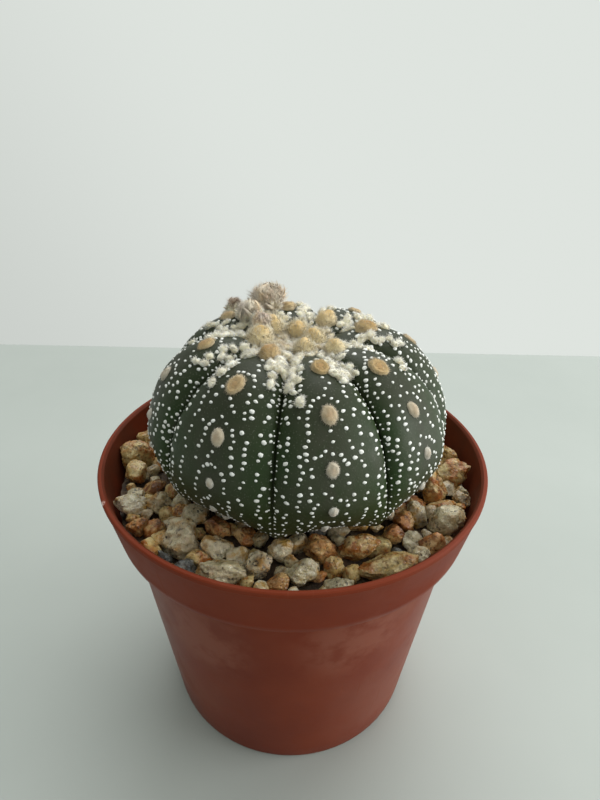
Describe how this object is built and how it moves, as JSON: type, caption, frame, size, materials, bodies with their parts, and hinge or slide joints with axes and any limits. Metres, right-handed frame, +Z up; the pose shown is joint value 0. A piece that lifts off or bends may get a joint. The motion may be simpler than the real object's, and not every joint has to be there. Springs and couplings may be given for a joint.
{
  "type": "potted star cactus",
  "caption": "Star cactus, a ribbed green dome with white flecks, woolly areoles and dried flowers, in a tapered plastic nursery pot topped with crushed stone.",
  "frame": {"origin": "centre of the pot's foot, on the surface that it stands on", "axes": "+Z up along the pot's axis; -Y is the front, from which the picture was taken; +X to the right"},
  "size_m": [0.085, 0.085, 0.1022],
  "materials": {
    "pot_plastic": "satin red-brown moulded plastic, faintly scuffed",
    "potting_mix": "crumbly dark potting mix",
    "grit_stone": "matt crushed stone in tan, ochre and grey",
    "cactus_skin": "matt waxy green skin with white felt flecks and tan woolly areoles",
    "dried_flower": "dry papery brown-grey remains with fine hairs"
  },
  "bodies": {
    "root": {"pot": "pot_plastic", "potting_mix": "potting_mix", "grit": "grit_stone", "cactus": "cactus_skin", "dried_flower_large": "dried_flower", "dried_flower_left": "dried_flower", "dried_flower_front": "dried_flower", "dried_bud_small": "dried_flower"}
  },
  "joints": []
}
